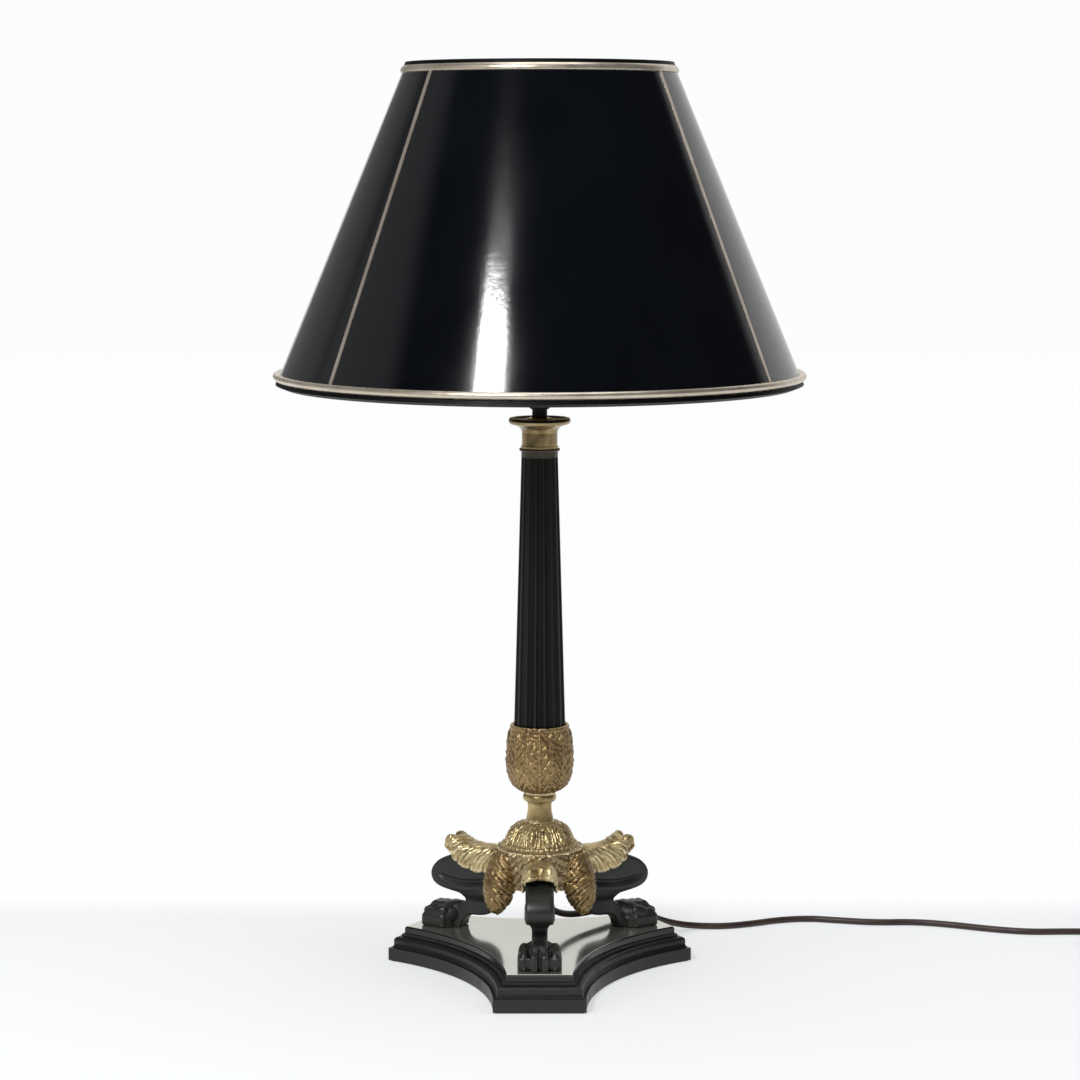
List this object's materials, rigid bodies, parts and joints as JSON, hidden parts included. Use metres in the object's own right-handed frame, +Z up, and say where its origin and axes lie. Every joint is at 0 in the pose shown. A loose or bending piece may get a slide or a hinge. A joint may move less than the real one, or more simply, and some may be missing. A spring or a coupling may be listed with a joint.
{
  "type": "table lamp",
  "caption": "Tripod column table lamp: paw-footed legs on a concave-sided plinth, gilt leaf mounts, fluted stem, conical black shade with gold edges, cord and plug.",
  "frame": {"origin": "on the lamp's axis, on the surface the felt rests on", "axes": "+Z up the stem, -Y out along the front leg towards the viewer, +X to the side the cord runs to"},
  "size_m": [0.6384, 0.3494, 0.6053],
  "materials": {
    "dark_bronze": "satin dark green-brown patina on cast bronze",
    "polished_plate": "polished, slightly worn",
    "gilt_bronze": "gilt cast ornament, bright on its high parts",
    "antique_gilt": "aged gilding, brown in its recesses",
    "shaft_bronze": "near-black satin patina",
    "grey_bronze": "dull grey-brown bronze",
    "black_drip": "dark top with a gold rounded edge",
    "brass_fitting": "turned and lacquered",
    "steel_fastener": "plain machined steel",
    "green_felt": "thin felt",
    "porcelain": "matt white",
    "nickel_contact": "nickel plated",
    "black_moulding": "moulded, glossy",
    "clear_glass": "clear",
    "lamp_wire": "thin wire and pinched glass",
    "black_card": "glossy black paper on card",
    "gold_lining": "satin metallic paper",
    "gold_trim": "glossy champagne gold half-round trim",
    "black_binding": "satin black tape",
    "shade_wire": "white-coated steel wire",
    "brown_flex": "round flex, dark brown",
    "tie_wrap": "paper-covered tie"
  },
  "bodies": {
    "stand": {"base_felt": "green_felt", "plinth_base": "dark_bronze", "plinth_plate": "polished_plate", "paw_screws": "steel_fastener", "leg_front": "dark_bronze", "leg_right": "dark_bronze", "leg_left": "dark_bronze", "leg_crown": "steel_fastener", "crown_screws": "steel_fastener", "hub_casting": "dark_bronze", "pendant_leaf_right": "antique_gilt", "pendant_leaf_back": "antique_gilt", "pendant_leaf_left": "antique_gilt", "thigh_leaf_front": "gilt_bronze", "thigh_leaf_right": "gilt_bronze", "thigh_leaf_left": "gilt_bronze", "leaf_pins": "brass_fitting", "dome": "gilt_bronze", "stem_neck": "gilt_bronze", "acanthus_cup": "antique_gilt", "column_shaft": "shaft_bronze", "astragal_ring": "grey_bronze", "capital_neck": "gilt_bronze", "drip_plate": "black_drip", "top_nut": "brass_fitting", "tension_rod": "brass_fitting", "rod_washer": "steel_fastener", "bottom_nut": "steel_fastener", "cord_bush": "black_moulding", "inner_cable": "brown_flex", "holder_cap": "black_moulding", "holder_body": "black_moulding", "holder_insert": "porcelain", "centre_contact": "nickel_contact", "screw_sleeve": "nickel_contact", "cord_cable": "brown_flex", "cord_coil": "brown_flex", "cord_tail": "brown_flex", "coil_tie": "tie_wrap", "plug_sleeve": "black_moulding", "plug_body": "black_moulding", "plug_pins": "nickel_contact"},
    "shade": {"shade_card": "black_card", "shade_lining": "gold_lining", "binding_bottom": "black_binding", "binding_top": "black_binding", "gold_trim_bottom": "gold_trim", "gold_trim_top": "gold_trim", "seam_tapes": "gold_trim", "top_hoop": "shade_wire", "shade_fitter": "shade_wire"},
    "ring_nut_body": {"ring_nut": "black_moulding"},
    "bulb": {"bulb_cap": "nickel_contact", "bulb_tip": "nickel_contact", "bulb_glass": "clear_glass", "bulb_stem": "lamp_wire"},
    "switch": {"switch_bar": "black_moulding"}
  },
  "joints": [
    {"name": "shade_turn", "type": "hinge", "parent": "stand", "child": "shade", "pos_m": [0, 0, 0.406], "axis": [0, 0, 1], "continuous": true},
    {"name": "ring_nut_turn", "type": "hinge", "parent": "stand", "child": "ring_nut_body", "pos_m": [0, 0, 0.41], "axis": [0, 0, 1], "continuous": true},
    {"name": "bulb_turn", "type": "hinge", "parent": "stand", "child": "bulb", "pos_m": [0, 0, 0.42], "axis": [0, 0, 1], "continuous": true},
    {"name": "switch_slide", "type": "slide", "parent": "stand", "child": "switch", "axis": [1, 0, 0], "range_m": [0, 0.008]}
  ]
}
